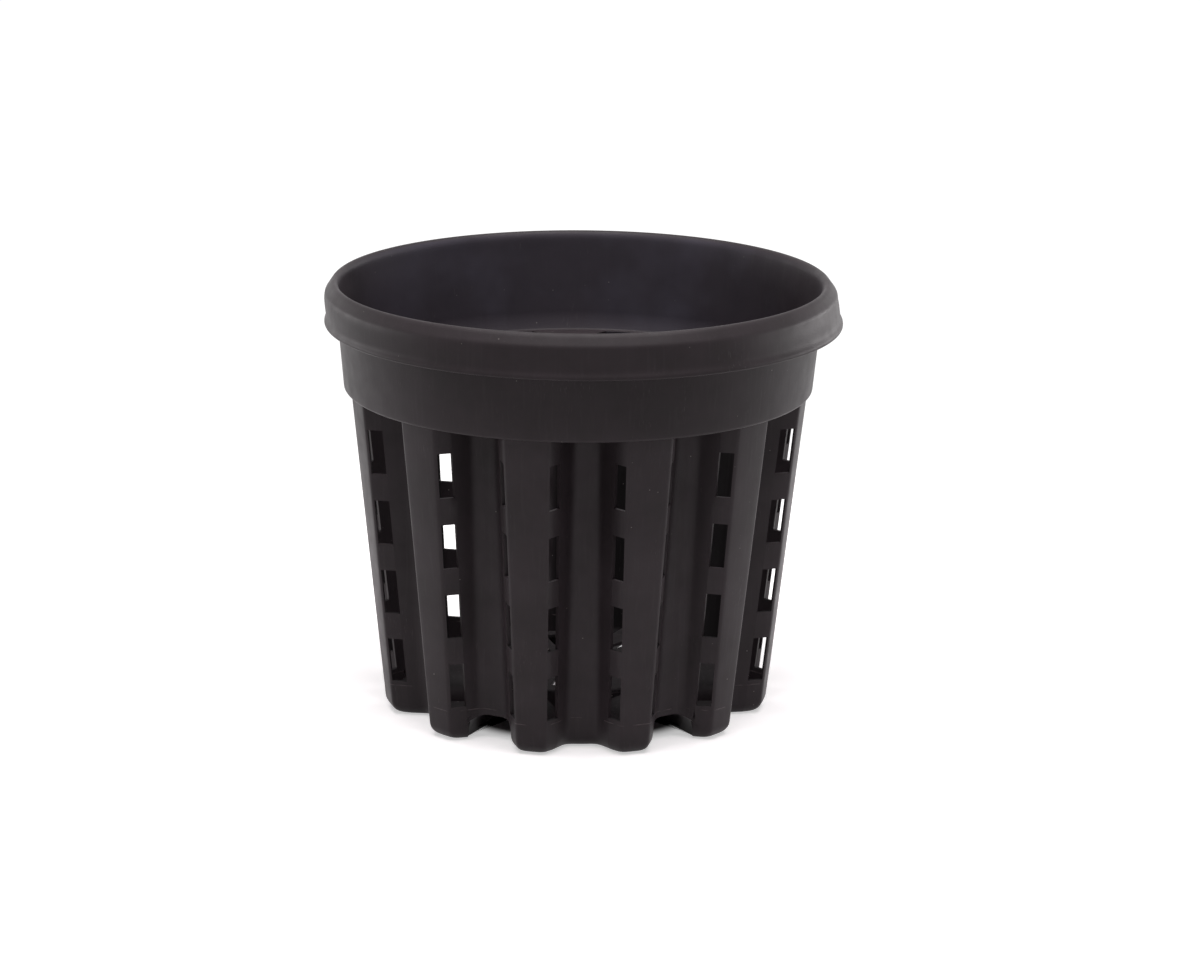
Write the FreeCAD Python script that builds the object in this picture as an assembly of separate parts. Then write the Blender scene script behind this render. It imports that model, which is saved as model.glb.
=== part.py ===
# Slotted orchid pot: one thin-walled plastic moulding with twelve lobes, ninety-six corner slots and
# six drainage arches. It is written as the zones of that moulding, which meet face to face.
# Millimetres, +Z up, origin at the centre of the ring that the feet stand on.
import FreeCAD, Part
import math
import os

os.makedirs("parts", exist_ok=True)

# Counts
LOBES = 12
SLOT_ROWS = 4
LOBES_PER_FOOT = 2
FEET = LOBES // LOBES_PER_FOOT
FLOOR_SLOTS = 12
DRAINS_PER_FOOT = 2
ROUNDING_STEPS = 5

# Wall thicknesses and edge roundings
wall = 1.4
collar_wall = 1.5
skirt_wall = 1.7
ledge_thickness = 1.5
ledge_corner = 1.0
lip_edge = 0.6

# Heights, stacked from the ground up: the arches and the plastic over them, the fluted wall, and
# the plain collar with the rim, which hangs down from the top in a crown, a skirt and a lip
arch_height = 11.0
arch_cover = 1.2
wall_height = 124.5
collar_height = 45.8
mouth_drop = 2.6
crown_rise = 9.45
skirt_height = 4.6
lip_depth = 3.9
parting_height = arch_height + wall + arch_cover
wall_top = parting_height + wall_height
pot_height = wall_top + collar_height
mouth_height = pot_height - mouth_drop
crown_height = pot_height - crown_rise
waist_height = crown_height - skirt_height
lip_height = waist_height - lip_depth

# Radii, stacked from the mouth outwards and then down the collar and the wall
rim_inner_radius = 101.6
mouth_round = 2.0
rim_reach = 6.7
skirt_flare = 0.1
lip_flare = 0.9
collar_taper = 3.95
ledge_step = 1.95
wall_taper = 14.4
shoulder_radius = rim_inner_radius + rim_reach
waist_radius = shoulder_radius + skirt_flare
lip_radius = waist_radius + lip_flare
collar_foot_radius = rim_inner_radius + collar_wall - collar_taper
crest_radius_high = collar_foot_radius - ledge_step
crest_radius_low = crest_radius_high - wall_taper

# Fluted section at the ground and at the top of the wall: depth of the valley, drop of the corner
# facet that carries the slots, and the corners' inner radii
valley_depth_low = 12.2
valley_depth_high = 16.2
facet_drop = 5.8
crest_inner_corner = 0.8
facet_inner_corner = 0.6
valley_corner = 5.5
crest_corner = crest_inner_corner + wall
facet_corner = facet_inner_corner + wall

# Rounded foot: its radius, and the drop of the facet where it meets the ground
foot_rounding = 5.5
foot_facet_drop = 2.8

# A lobe's crest, facet and flank each take a share of the half pitch between two valleys, and the
# valley's own floor has the rest: at the top of the wall, at the ground and under the foot
top_crest_share = 0.452
top_facet_share = 0.152
top_flank_share = 0.16
ground_crest_share = 0.332
ground_facet_share = 0.196
ground_flank_share = 0.155
foot_crest_share = 0.215
foot_facet_share = 0.12
foot_flank_share = 0.25
half_pitch_high = (crest_radius_high - valley_depth_high) * math.sin(math.pi / LOBES)
half_pitch_low = (crest_radius_low - valley_depth_low) * math.sin(math.pi / LOBES)
half_pitch_foot = half_pitch_low - foot_rounding * math.sin(math.pi / LOBES)

# Slots: the plastic below the first row, between the rows and above the last, and how far a slot
# reaches past the two edges of its facet
slot_rise = 1.85
bridge_height = 11.59
slot_headroom = 11.06
slot_reach = 0.35
bridges_height = (SLOT_ROWS - 1) * bridge_height
slot_height = (wall_height - slot_rise - slot_headroom - bridges_height) / SLOT_ROWS
slot_pitch = slot_height + bridge_height
slot_low = parting_height + slot_rise

# Raised floor and its skirt wall, set in from the feet, with its ring of radial slots
foot_land = 21.1
floor_draft = 1.5
floor_rise = 2.0
floor_slot_width = 4.6
floor_slot_inner = 14.0
floor_slot_margin = 6.0
floor_skirt_radius = crest_radius_low - valley_depth_low - foot_rounding - foot_land
floor_radius = floor_skirt_radius - floor_draft
floor_height = parting_height + floor_rise
floor_skirt_top = floor_height - wall
floor_slot_length = floor_radius - floor_slot_margin - floor_slot_inner

# Arches between the feet, and the drain openings in the skirt wall behind each foot
arch_half_width = 13.0
arch_corner = 9.8
drain_width = 4.6
drain_height = 4.4

# One overrun serves every cut, and points nearer than this are the same point
overrun = 2.0
same_point = 1e-6

SECTOR = 2 * math.pi / LOBES
FOOT_SECTOR = 2 * math.pi / FEET
FULL_TURN = 360
AXIS = FreeCAD.Vector(0, 0, 1)
CENTRE = FreeCAD.Vector(0, 0, 0)


def polar(radius, angle, z=0.0):
    """A point at an angle measured from the front (-Y) towards +X."""
    return FreeCAD.Vector(radius * math.sin(angle), -radius * math.cos(angle), z)


def turned(shape, angle):
    """The shape turned about the pot's axis."""
    copy = shape.copy()
    copy.rotate(CENTRE, AXIS, math.degrees(angle))
    return copy


def export(name, shape):
    """Writes one node, which is one solid."""
    solids = shape.Solids
    if len(solids) != 1 or not shape.isValid():
        print("CHECK", name, "solids", len(solids), "valid", shape.isValid())
    solids[0].exportStep("parts/" + name + ".step")
    print(name, round(solids[0].Volume / 1000, 3), "cm3")


def between(low, high, share):
    """The value at a share of the way from low to high."""
    return low + (high - low) * share


def section_sizes(z, share):
    """Sizes of the fluted section at height z, drawn in by the foot's rounding share."""
    climb = z / wall_top
    crest = between(crest_radius_low, crest_radius_high, climb)
    valley = crest - between(valley_depth_low, valley_depth_high, climb)

    def width(low_share, high_share, foot_share):
        on_wall = between(low_share * half_pitch_low, high_share * half_pitch_high, climb)
        return between(on_wall, foot_share * half_pitch_foot, share)

    crest_half = width(ground_crest_share, top_crest_share, foot_crest_share)
    facet_half = crest_half + width(ground_facet_share, top_facet_share, foot_facet_share)
    return {
        "crest": crest - foot_rounding * share,
        "valley": valley - foot_rounding * share,
        "crest_half": crest_half,
        "facet_half": facet_half,
        "facet_drop": between(facet_drop, foot_facet_drop, share),
        "flank_half": facet_half + width(ground_flank_share, top_flank_share, foot_flank_share),
    }


def line_of(start, end):
    """Unit direction, left-hand normal and distance from the origin of a line in the section."""
    dx, dy = end[0] - start[0], end[1] - start[1]
    length = math.hypot(dx, dy)
    direction = (dx / length, dy / length)
    normal = (-direction[1], direction[0])
    offset = start[0] * normal[0] + start[1] * normal[1]
    return direction, normal, offset


def tangent_centre(line, circle_radius, radius, side, near):
    """Centre of a corner arc that touches a line and a circle round the pot's axis."""
    direction, normal, offset = line
    reach = offset + side * radius
    span = math.sqrt((circle_radius + side * radius) ** 2 - reach ** 2)
    sign = 1.0 if near[0] * direction[0] + near[1] * direction[1] > 0 else -1.0
    return (reach * normal[0] + sign * span * direction[0], reach * normal[1] + sign * span * direction[1])


def half_section(z, share):
    """Corner arcs of half a lobe, lobe axis along +Y: (centre, radius, way in, way out) per corner."""
    size = section_sizes(z, share)
    crest_end = (size["crest_half"], math.sqrt(size["crest"] ** 2 - size["crest_half"] ** 2))
    facet_radius = size["crest"] - size["facet_drop"]
    facet_end = (size["facet_half"], math.sqrt(facet_radius ** 2 - size["facet_half"] ** 2))
    floor_end = (size["flank_half"], math.sqrt(size["valley"] ** 2 - size["flank_half"] ** 2))
    facet = line_of(facet_end, crest_end)
    flank = line_of(floor_end, facet_end)
    # The normals point out of the material when the lines run from the valley up to the crest
    facet = (facet[0], (-facet[1][0], -facet[1][1]), -facet[2])
    flank = (flank[0], (-flank[1][0], -flank[1][1]), -flank[2])
    crest_centre = tangent_centre(facet, size["crest"], crest_corner, -1.0, crest_end)
    valley_centre = tangent_centre(flank, size["valley"], valley_corner, 1.0, floor_end)
    # The corner between facet and flank: both lines moved in by the corner's radius
    a, b = facet[1], flank[1]
    p, q = facet[2] - facet_corner, flank[2] - facet_corner
    det = a[0] * b[1] - a[1] * b[0]
    facet_centre = ((p * b[1] - q * a[1]) / det, (a[0] * q - b[0] * p) / det)
    return size, facet[1], flank[1], crest_centre, facet_centre, valley_centre


def side_points(z, share, depth):
    """Points of half a lobe's outline from crest to valley, at a depth behind the outer face."""
    size, facet_out, flank_out, crest_centre, facet_centre, valley_centre = half_section(z, share)
    crest_way = math.atan2(crest_centre[0], crest_centre[1])
    valley_way = math.atan2(valley_centre[0], valley_centre[1])
    crest_dir = (math.sin(crest_way), math.cos(crest_way))
    valley_dir = (-math.sin(valley_way), -math.cos(valley_way))
    flank_in = (-flank_out[0], -flank_out[1])

    def arc(centre, radius, first, last):
        middle = (first[0] + last[0], first[1] + last[1])
        length = math.hypot(*middle)
        ways = (first, (middle[0] / length, middle[1] / length), last)
        return [(centre[0] + radius * way[0], centre[1] + radius * way[1]) for way in ways]

    crest_arc = arc(crest_centre, crest_corner - depth, crest_dir, facet_out)
    facet_arc = arc(facet_centre, facet_corner - depth, facet_out, flank_out)
    valley_arc = arc(valley_centre, valley_corner + depth, flank_in, valley_dir)
    return size, crest_arc, facet_arc, valley_arc


def placed(point, angle, z):
    """A section point of a lobe whose axis stands at an angle from the front."""
    radius = math.hypot(point[0], point[1])
    return polar(radius, angle + math.atan2(point[0], point[1]), z)


def mirrored(points):
    """The same points on the lobe's other side, in the opposite order."""
    return [(-x, y) for x, y in reversed(points)]


def lobe_outline(angle, z, share, depth):
    """Edges of one lobe's outline from its left valley arc to its right one."""
    size, crest_arc, facet_arc, valley_arc = side_points(z, share, depth)
    right = [crest_arc, facet_arc, valley_arc]
    left = [mirrored(arc) for arc in reversed(right)]
    crest_top = (0.0, size["crest"] - depth)
    arcs = left + [[left[2][2], crest_top, right[0][0]]] + right
    edges = []
    for number, arc in enumerate(arcs):
        spots = [placed(point, angle, z) for point in arc]
        if number and (spots[0] - last).Length > same_point:
            edges.append(Part.LineSegment(last, spots[0]).toShape())
        edges.append(Part.Arc(*spots).toShape())
        last = spots[2]
    return edges, placed(arcs[0][0], angle, z), last


def valley_arc_edge(angle, z, share, depth):
    """The valley floor's edge between two lobes; the angle is the valley's own."""
    size, crest_arc, facet_arc, valley_arc = side_points(z, share, depth)
    end = valley_arc[2]
    start = placed(end, angle - SECTOR / 2, z)
    middle = polar(size["valley"] - depth, angle, z)
    finish = placed((-end[0], end[1]), angle + SECTOR / 2, z)
    return Part.Arc(start, middle, finish).toShape(), start, finish


def closed_band(maker, angle, z):
    """One closed section of a stretch of the wall, between its outer and inner faces."""
    out = maker(angle, z, 0.0, 0.0)
    back = maker(angle, z, 0.0, wall)
    out_edges = out[0] if isinstance(out[0], list) else [out[0]]
    back_edges = back[0] if isinstance(back[0], list) else [back[0]]
    ends = [Part.LineSegment(out[2], back[2]).toShape(), Part.LineSegment(back[1], out[1]).toShape()]
    return Part.Wire(Part.__sortEdges__(out_edges + [ends[0]] + back_edges + [ends[1]]))


def wall_zone(maker, angle):
    """One stretch of the fluted wall from the parting height to its top."""
    wires = [closed_band(maker, angle, z) for z in (parting_height, wall_top)]
    return Part.makeLoft(wires, True, True)


def slot_cutters(angle):
    """The eight slots of one lobe: four rows through each of its two corner facets."""
    cutters = []
    for row in range(SLOT_ROWS):
        low = slot_low + row * slot_pitch
        levels = (low, low + slot_height)
        for side in (-1.0, 1.0):
            wires = []
            for z in levels:
                size, crest_arc, facet_arc, valley_arc = side_points(z, 0.0, 0.0)
                near, far = crest_arc[2], facet_arc[0]
                along = line_of(near, far)[0]
                way = line_of(near, far)[1]
                if way[0] * near[0] + way[1] * near[1] < 0:
                    way = (-way[0], -way[1])
                first = (near[0] - slot_reach * along[0], near[1] - slot_reach * along[1])
                second = (far[0] + slot_reach * along[0], far[1] + slot_reach * along[1])
                corners = []
                for spot, out in ((first, 1.0), (second, 1.0), (second, -1.0), (first, -1.0)):
                    reach = overrun if out > 0 else -(wall + overrun)
                    moved = (side * (spot[0] + reach * way[0]), spot[1] + reach * way[1])
                    corners.append(placed(moved, angle, z))
                wires.append(Part.makePolygon(corners + corners[:1]))
            cutters.append(Part.makeLoft(wires, True, True))
    return cutters


def make_lobe(angle):
    """A lobe of the wall: crest, two slotted facets, two flanks and the corners of the valleys."""
    return wall_zone(lobe_outline, angle).cut(slot_cutters(angle))


def make_valley(angle):
    """The plain strip at the bottom of a valley."""
    return wall_zone(valley_arc_edge, angle)


def ring_outline(z, share, depth):
    """The whole fluted outline as one closed wire."""
    edges = []
    for number in range(LOBES):
        angle = (number + 0.5) * SECTOR
        edges += lobe_outline(angle, z, share, depth)[0]
        edges.append(valley_arc_edge(angle + SECTOR / 2, z, share, depth)[0])
    return Part.Wire(Part.__sortEdges__(edges))


def revolved(points):
    """A ring from its cross-section, given as (radius, height) points and three-point arcs."""
    edges = []
    spots = []
    for item in points:
        if len(item) == 3:
            arc = [FreeCAD.Vector(r, 0, z) for r, z in item]
            if spots and (arc[0] - spots[-1]).Length > same_point:
                edges.append(Part.LineSegment(spots[-1], arc[0]).toShape())
            edges.append(Part.Arc(*arc).toShape())
            spots += [arc[0], arc[2]]
        else:
            spot = FreeCAD.Vector(item[0], 0, item[1])
            if spots:
                edges.append(Part.LineSegment(spots[-1], spot).toShape())
            spots.append(spot)
    if (spots[-1] - spots[0]).Length > same_point:
        edges.append(Part.LineSegment(spots[-1], spots[0]).toShape())
    face = Part.Face(Part.Wire(edges))
    return face.revolve(CENTRE, AXIS, FULL_TURN)


def collar_outer(z):
    """Outer radius of the plain collar at a height."""
    climb = (z - wall_top) / (mouth_height - wall_top)
    return between(collar_foot_radius, rim_inner_radius + collar_wall, climb)


def make_collar():
    """The plain band under the rim."""
    low, high = wall_top + ledge_thickness, crown_height
    return revolved([
        (collar_outer(low), low),
        (collar_outer(high), high),
        (collar_outer(high) - collar_wall, high),
        (collar_outer(low) - collar_wall, low),
    ])


def make_ledge():
    """The flat shelf that closes the tops of the valleys and carries the collar."""
    top, edge = wall_top + ledge_thickness, wall_top + ledge_corner
    plate = revolved([
        (0.0, top),
        (0.0, wall_top),
        (collar_outer(wall_top) - ledge_corner, wall_top),
        quarter_bend((collar_outer(wall_top) - ledge_corner, wall_top), (collar_outer(wall_top), wall_top),
                     (collar_outer(edge), edge)),
        (collar_outer(top), top),
    ])
    hole = Part.Face(ring_outline(wall_top, 0.0, wall)).extrude(FreeCAD.Vector(0, 0, ledge_thickness + overrun))
    return plate.cut(hole)


def quarter_bend(start, corner, end):
    """Three points of a quarter bend that leaves start and meets end square to them, round a corner."""
    bend_share = 1 - math.sqrt(0.5)
    middle = tuple(corner[n] + (start[n] + end[n] - 2 * corner[n]) * bend_share for n in (0, 1))
    return [start, middle, end]


def make_crown():
    """The rolled top of the rim, a channel that is open below."""
    top_radius = rim_inner_radius + mouth_round
    hollow_in, hollow_out = collar_outer(crown_height), shoulder_radius - skirt_wall
    hollow_top = pot_height - skirt_wall
    hollow_middle = (hollow_in + hollow_out) / 2
    return revolved([
        (hollow_in - collar_wall, crown_height),
        (rim_inner_radius, mouth_height),
        quarter_bend((rim_inner_radius, mouth_height), (rim_inner_radius, pot_height), (top_radius, pot_height)),
        quarter_bend((top_radius, pot_height), (shoulder_radius, pot_height), (shoulder_radius, crown_height)),
        quarter_bend((hollow_out, crown_height), (hollow_out, hollow_top), (hollow_middle, hollow_top)),
        (collar_outer(mouth_height), mouth_height),
        (hollow_in, crown_height),
    ])


def make_skirt():
    """The outer leaf of the rim, down to its waist."""
    return revolved([
        (shoulder_radius, crown_height),
        (waist_radius, waist_height),
        (waist_radius - skirt_wall, waist_height),
        (shoulder_radius - skirt_wall, crown_height),
    ])


def make_lip():
    """The flared bottom edge of the rim."""
    flare = (waist_height - lip_height) / 2
    return revolved([
        (waist_radius, waist_height),
        (lip_radius, waist_height - flare),
        (lip_radius, lip_height + lip_edge),
        (lip_radius - lip_edge, lip_height),
        (lip_radius - skirt_wall, lip_height),
        (waist_radius - skirt_wall, waist_height - flare / 2),
        (waist_radius - skirt_wall, waist_height),
    ])


def foot_levels(start, top):
    """Heights of the sections that make the quarter round of the foot, and its top."""
    radius = foot_rounding - start
    levels = []
    for step in range(ROUNDING_STEPS + 1):
        angle = math.pi / 2 * step / ROUNDING_STEPS
        levels.append((start + radius * (1 - math.cos(angle)), 1 - math.sin(angle)))
    levels.append((top, 0.0))
    return levels


def sector_wire(angle, z, share, depth, inner_radius):
    """One foot's share of the base outline, closed at an inner radius."""
    size, crest_arc, facet_arc, valley_arc = side_points(z, share, depth)
    corner = valley_arc[2]
    radius = size["valley"] - depth
    reach = SECTOR / 2 - math.atan2(corner[0], corner[1])
    first, last = angle - FOOT_SECTOR / 2, angle + FOOT_SECTOR / 2
    start, finish = polar(radius, first, z), polar(radius, last, z)
    edges = [Part.Arc(start, polar(radius, first + reach / 2, z), polar(radius, first + reach, z)).toShape()]
    for number in range(LOBES_PER_FOOT):
        lobe_angle = first + (number + 0.5) * SECTOR
        edges += lobe_outline(lobe_angle, z, share, depth)[0]
        if number < LOBES_PER_FOOT - 1:
            edges.append(valley_arc_edge(lobe_angle + SECTOR / 2, z, share, depth)[0])
    edges.append(Part.Arc(polar(radius, last - reach, z), polar(radius, last - reach / 2, z), finish).toShape())
    inner_finish = polar(inner_radius, last, z)
    inner_middle = polar(inner_radius, angle, z)
    inner_start = polar(inner_radius, first, z)
    edges.append(Part.LineSegment(finish, inner_finish).toShape())
    edges.append(Part.Arc(inner_finish, inner_middle, inner_start).toShape())
    edges.append(Part.LineSegment(inner_start, start).toShape())
    return Part.Wire(edges)


def base_body(angle, start, depth):
    """One foot's share of the base as a solid block with the rounded foot, up to the skirt wall."""
    wires = []
    for z, share in foot_levels(start, parting_height):
        inner_radius = between(floor_skirt_radius, floor_radius, z / floor_skirt_top)
        wires.append(sector_wire(angle, z, share, depth, inner_radius))
    return Part.makeLoft(wires, True, True)


def arch_prism(angle, grow):
    """The drainage arch as a radial bar: flat sides, rounded shoulders; grown by a wall."""
    half = arch_half_width + grow
    top = arch_height + grow
    corner = arch_corner + grow
    low = -overrun
    mid = corner * (1 - math.sqrt(0.5))
    near = floor_radius / 2
    points = [
        FreeCAD.Vector(-half, 0, low),
        FreeCAD.Vector(-half, 0, top - corner),
        FreeCAD.Vector(-half + mid, 0, top - mid),
        FreeCAD.Vector(-half + corner, 0, top),
        FreeCAD.Vector(half - corner, 0, top),
        FreeCAD.Vector(half - mid, 0, top - mid),
        FreeCAD.Vector(half, 0, top - corner),
        FreeCAD.Vector(half, 0, low),
    ]
    edges = [
        Part.LineSegment(points[0], points[1]).toShape(),
        Part.Arc(points[1], points[2], points[3]).toShape(),
        Part.LineSegment(points[3], points[4]).toShape(),
        Part.Arc(points[4], points[5], points[6]).toShape(),
        Part.LineSegment(points[6], points[7]).toShape(),
        Part.LineSegment(points[7], points[0]).toShape(),
    ]
    face = Part.Face(Part.Wire(edges))
    face.translate(FreeCAD.Vector(0, -near, 0))
    bar = face.extrude(FreeCAD.Vector(0, -(crest_radius_high - near), 0))
    return turned(bar, angle)


def arch_slab(angle, grow):
    """A straight-sided slab over an arch, that parts the arch from its feet."""
    half = arch_half_width + grow
    length = crest_radius_high
    slab = Part.makeBox(2 * half, length, parting_height + 2 * overrun,
                        FreeCAD.Vector(-half, -length, -overrun))
    return turned(slab, angle)


def base_sector():
    """The shell of one foot's share of the base, with half an arch at each side."""
    body = base_body(0.0, 0.0, 0.0)
    hollow = base_body(0.0, wall, wall)
    edges = (-FOOT_SECTOR / 2, FOOT_SECTOR / 2)
    hollow = hollow.cut([arch_prism(edge, wall) for edge in edges])
    return body.cut([hollow] + [arch_prism(edge, 0.0) for edge in edges])


def make_foot(sector):
    """A foot: the rounded bottoms of two lobes and the valley between them, with its pan."""
    return sector.cut([arch_slab(edge, wall) for edge in (-FOOT_SECTOR / 2, FOOT_SECTOR / 2)])


def make_arch(sector):
    """A drainage arch between two feet: roof, two side walls and the wall over it."""
    half = sector.common(arch_slab(FOOT_SECTOR / 2, wall))
    return half.fuse(turned(sector.common(arch_slab(-FOOT_SECTOR / 2, wall)), FOOT_SECTOR)).removeSplitter()


def make_floor_skirt():
    """The upright wall of the raised floor, open at the arches and drained into the feet."""
    body = Part.makeCone(floor_skirt_radius, floor_radius, floor_skirt_top)
    body = body.cut(Part.makeCone(floor_skirt_radius - wall, floor_radius - wall, floor_skirt_top))
    cutters = [arch_prism((number + 0.5) * FOOT_SECTOR, 0.0) for number in range(FEET)]
    room = FOOT_SECTOR - 2 * math.asin(arch_half_width / floor_skirt_radius)
    plastic = 2 * floor_skirt_radius * math.sin(room / 2) - DRAINS_PER_FOOT * drain_width
    spacing = plastic / (DRAINS_PER_FOOT + 1) + drain_width
    for number in range(FEET):
        for drain in range(DRAINS_PER_FOOT):
            shift = (drain - (DRAINS_PER_FOOT - 1) / 2) * spacing
            box = Part.makeBox(drain_width, floor_skirt_radius, drain_height,
                               FreeCAD.Vector(shift - drain_width / 2, -floor_skirt_radius - wall, wall))
            cutters.append(turned(box, number * FOOT_SECTOR))
    return body.cut(cutters)


def make_floor():
    """The raised floor disc with its ring of radial slots."""
    disc = Part.makeCylinder(floor_radius, wall, FreeCAD.Vector(0, 0, floor_skirt_top))
    cutters = []
    for number in range(FLOOR_SLOTS):
        box = Part.makeBox(floor_slot_width, floor_slot_length, wall + 2 * overrun,
                           FreeCAD.Vector(-floor_slot_width / 2, -floor_slot_inner - floor_slot_length,
                                          floor_skirt_top - overrun))
        cutters.append(turned(box, (number + 0.5) * 2 * math.pi / FLOOR_SLOTS))
    return disc.cut(cutters)


export("rim_crown", make_crown())
export("rim_skirt", make_skirt())
export("rim_lip", make_lip())
export("collar_band", make_collar())
export("shoulder_ledge", make_ledge())
lobe = make_lobe(0.0)
valley = make_valley(0.0)
for number in range(LOBES):
    export("wall_lobe_%02d" % (number + 1), turned(lobe, (number + 0.5) * SECTOR))
    export("wall_valley_%02d" % (number + 1), turned(valley, number * SECTOR))
sector = base_sector()
foot = make_foot(sector)
arch = make_arch(sector)
for number in range(FEET):
    export("base_foot_%d" % (number + 1), turned(foot, number * FOOT_SECTOR))
    export("drain_arch_%d" % (number + 1), turned(arch, number * FOOT_SECTOR))
export("floor_skirt", make_floor_skirt())
export("floor_disc", make_floor())
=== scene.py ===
import bmesh
import bpy
import math
from mathutils import Matrix, Vector


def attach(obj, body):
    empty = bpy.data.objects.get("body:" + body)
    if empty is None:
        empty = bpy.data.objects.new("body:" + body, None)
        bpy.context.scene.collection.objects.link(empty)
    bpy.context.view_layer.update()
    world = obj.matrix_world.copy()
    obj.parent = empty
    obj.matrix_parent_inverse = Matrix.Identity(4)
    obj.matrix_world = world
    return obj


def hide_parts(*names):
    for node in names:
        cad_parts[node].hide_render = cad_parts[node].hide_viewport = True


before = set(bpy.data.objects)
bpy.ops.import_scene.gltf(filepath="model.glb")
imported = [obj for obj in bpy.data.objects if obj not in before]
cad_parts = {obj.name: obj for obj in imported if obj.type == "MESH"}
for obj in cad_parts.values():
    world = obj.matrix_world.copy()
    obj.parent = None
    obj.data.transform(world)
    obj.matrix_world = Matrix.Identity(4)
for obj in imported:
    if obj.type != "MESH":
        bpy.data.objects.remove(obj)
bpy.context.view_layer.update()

# Feet and drainage arches
# The base of the pot: six feet, each the rounded bottoms of two lobes, with a drainage arch between
# every two feet. It is part of the same thin injection moulding of black polypropylene as the rest,
# formed by the lower half of the mould, so a faint parting line runs round its top.
MM = 0.001
LOBES = 12
FEET = 6
arch_height = 11.0
arch_half_width = 13.0
arch_corner = 9.8
parting_height = 13.6
foot_rounding = 5.5
wall = 1.4
wall_top = 138.1
facet_corner = 2.0
valley_corner = 5.5
slot_reach = 0.35
skirt_top = 14.2
# At the ground and at the top
crest_radius = (82.8, 97.2)
valley_depth = (12.2, 16.2)
skirt_radius = (44.0, 42.5)
# On the wall and at the end of the foot's rounding
facet_drop = (5.8, 2.8)
crest_corner = (2.2, 5.0)
# Shares of half a lobe's pitch, at the ground, at the wall's top and round the foot
crest_share = (0.332, 0.452, 0.215)
facet_share = (0.196, 0.152, 0.12)
flank_share = (0.155, 0.16, 0.25)
HALF_TURN = math.pi / LOBES
# How many straight steps the mesh takes along the parts of half a lobe, from its crest to its valley
CREST_STEPS, BEND_STEPS, CORNER_STEPS, FLANK_STEPS, VALLEY_STEPS, BOTTOM_STEPS = 4, 4, 3, 4, 4, 2


def between(low, high, share):
    """The value at a share of the way from low to high."""
    return low + (high - low) * share


def circle_run(centre, radius, first, last, steps):
    """Points on an arc between two directions, both ends included."""
    start = math.atan2(first[0], first[1])
    sweep = (math.atan2(last[0], last[1]) - start + math.pi) % (2 * math.pi) - math.pi
    angles = [start + sweep * step / steps for step in range(steps + 1)]
    return [(centre[0] + radius * math.sin(a), centre[1] + radius * math.cos(a)) for a in angles]


def half_lobe(z, drawn, depth):
    """Half a lobe's outline at height z, from its crest to the middle of the valley, crest on +Y.
    drawn is how far the foot's rounding has come, and depth is how far behind the outer face."""
    climb = z / wall_top
    crest_wall = between(*crest_radius, climb)
    valley_wall = crest_wall - between(*valley_depth, climb)
    pitches = [(crest_radius[n] - valley_depth[n]) * math.sin(HALF_TURN) for n in (0, 1)]
    foot_pitch = pitches[0] - foot_rounding * math.sin(HALF_TURN)

    def width(shares):
        on_wall = between(shares[0] * pitches[0], shares[1] * pitches[1], climb)
        return between(on_wall, shares[2] * foot_pitch, drawn)

    crest = crest_wall - foot_rounding * drawn
    valley = valley_wall - foot_rounding * drawn
    crest_half = width(crest_share)
    facet_half = crest_half + width(facet_share)
    flank_half = facet_half + width(flank_share)
    facet_radius = crest - between(*facet_drop, drawn)
    crest_bend = between(*crest_corner, drawn)
    corners = [Vector((half, math.sqrt(radius ** 2 - half ** 2))) for half, radius in
               ((crest_half, crest), (facet_half, facet_radius), (flank_half, valley))]

    def outward(start, end):
        along = (end - start).normalized()
        return Vector((-along.y, along.x))

    facet_out = outward(corners[0], corners[1])
    flank_out = outward(corners[1], corners[2])
    facet_off = facet_out.dot(corners[0])
    flank_off = flank_out.dot(corners[1])

    def on_circle(normal, offset, radius):
        along = Vector((-normal.y, normal.x))
        span = math.sqrt(radius ** 2 - offset ** 2)
        spots = [normal * offset + along * span, normal * offset - along * span]
        return max(spots, key=lambda spot: spot.y)

    crest_centre = on_circle(facet_out, facet_off - crest_bend, crest - crest_bend)
    valley_centre = on_circle(flank_out, flank_off + valley_corner, valley + valley_corner)
    first, second = facet_off - facet_corner, flank_off - facet_corner
    cross = facet_out.x * flank_out.y - facet_out.y * flank_out.x
    facet_centre = Vector(((first * flank_out.y - second * facet_out.y) / cross,
                           (facet_out.x * second - flank_out.x * first) / cross))

    # The slots' upright edges lie a little past the facet, on the corner arcs beside it
    crest_turn = Matrix.Rotation(math.asin(slot_reach / crest_bend), 2)
    facet_turn = Matrix.Rotation(-math.asin(slot_reach / facet_corner), 2)
    slot_start, slot_end = crest_turn @ facet_out, facet_turn @ facet_out
    crest_way = crest_centre.normalized()
    valley_way = valley_centre.normalized()
    middle = Vector((math.sin(HALF_TURN), math.cos(HALF_TURN)))
    points = circle_run((0, 0), crest - depth, (0, 1), crest_way, CREST_STEPS)[:-1]
    points += circle_run(crest_centre, crest_bend - depth, crest_way, slot_start, BEND_STEPS)
    facet_run = circle_run(facet_centre, facet_corner - depth, slot_end, flank_out, CORNER_STEPS)
    points.append(tuple((Vector(points[-1]) + Vector(facet_run[0])) / 2))
    points += facet_run
    valley_run = circle_run(valley_centre, valley_corner + depth, flank_out * -1, valley_way * -1,
                            VALLEY_STEPS)
    for step in range(1, FLANK_STEPS):
        points.append(tuple(Vector(facet_run[-1]).lerp(Vector(valley_run[0]), step / FLANK_STEPS)))
    points += valley_run
    points += circle_run((0, 0), valley - depth, valley_way, middle, BOTTOM_STEPS)[1:]
    return points


SIDE = len(half_lobe(parting_height, 0.0, 0.0)) - 1
section_store = {}


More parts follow.
